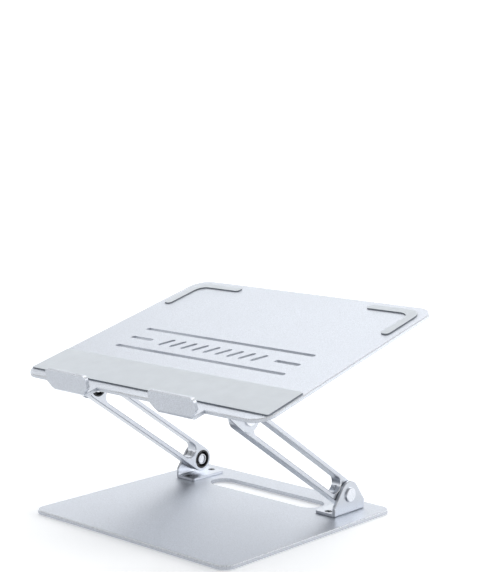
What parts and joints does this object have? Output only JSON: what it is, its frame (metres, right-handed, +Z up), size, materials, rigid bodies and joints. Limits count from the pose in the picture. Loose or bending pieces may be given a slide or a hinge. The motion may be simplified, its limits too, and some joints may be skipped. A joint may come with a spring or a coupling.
{
  "type": "laptop stand",
  "caption": "Folding laptop stand: flat base plate, two windowed arms on friction hinges, and a tilting vented tray with bent-up front hooks and grip pads.",
  "frame": {"origin": "on the surface the feet stand on, under the middle of the whole stand", "axes": "+X to the stand's right, +Y to its rear, +Z up"},
  "size_m": [0.258, 0.2263, 0.166],
  "materials": {
    "plate_aluminium": "satin, bead blasted and clear anodised",
    "arm_aluminium": "satin, bead blasted and clear anodised",
    "bracket_aluminium": "satin, bead blasted and clear anodised",
    "pin_steel": "satin",
    "washer_steel": "satin",
    "screw_steel": "satin, black oxide",
    "black_nylon": "matte",
    "bushing_acetal": "matte",
    "silicone": "matte",
    "foot_rubber": "matte"
  },
  "bodies": {
    "base": {"base_plate": "plate_aluminium", "base_feet": "foot_rubber", "base_bracket_screws": "screw_steel", "base_bracket_left": "bracket_aluminium", "lower_pin_left": "pin_steel", "lower_nut_left": "pin_steel", "lower_spring_washers_left": "washer_steel", "base_bracket_right": "bracket_aluminium", "lower_pin_right": "pin_steel", "lower_nut_right": "pin_steel", "lower_spring_washers_right": "washer_steel"},
    "arm_left": {"arm_left": "arm_aluminium", "grub_screws_left": "pin_steel", "lower_ring_left": "black_nylon", "lower_bushing_left": "bushing_acetal"},
    "arm_right": {"arm_right": "arm_aluminium", "grub_screws_right": "pin_steel", "lower_ring_right": "black_nylon", "upper_ring_right": "black_nylon", "lower_bushing_right": "bushing_acetal", "upper_bushing_right": "bushing_acetal"},
    "tray_carrier": {"upper_bushing_left": "bushing_acetal", "upper_pin_left": "pin_steel", "upper_nut_left": "pin_steel", "upper_spring_washers_left": "washer_steel", "upper_ring_left": "black_nylon"},
    "tray": {"tray_plate": "plate_aluminium", "tray_bracket_screws": "screw_steel", "front_pad": "silicone", "tray_bracket_left": "bracket_aluminium", "rear_pad_left": "silicone", "hook_pad_left": "silicone", "tray_bracket_right": "bracket_aluminium", "upper_pin_right": "pin_steel", "upper_nut_right": "pin_steel", "upper_spring_washers_right": "washer_steel", "rear_pad_right": "silicone", "hook_pad_right": "silicone"}
  },
  "joints": [
    {"name": "arm_fold", "type": "hinge", "parent": "base", "child": "arm_left", "pos_m": [-0.0796, 0.05871, 0.019], "axis": [1, 0, 0], "range_deg": [-55, 34.4]},
    {"name": "arm_fold_right", "type": "hinge", "parent": "base", "child": "arm_right", "pos_m": [0.0796, 0.05871, 0.019], "axis": [1, 0, 0], "range_deg": [-55, 34.4]},
    {"name": "tray_levelling", "type": "hinge", "parent": "arm_left", "child": "tray_carrier", "pos_m": [-0.0796, -0.06093, 0.10092], "axis": [1, 0, 0], "range_deg": [-34.4, 55]},
    {"name": "tray_tilt", "type": "hinge", "parent": "tray_carrier", "child": "tray", "pos_m": [-0.0796, -0.06093, 0.10092], "axis": [1, 0, 0], "range_deg": [-15, 25]}
  ],
  "couplings": [
    {"joint": "arm_fold_right", "follows": "arm_fold", "ratio": 1},
    {"joint": "tray_levelling", "follows": "arm_fold", "ratio": -1}
  ]
}
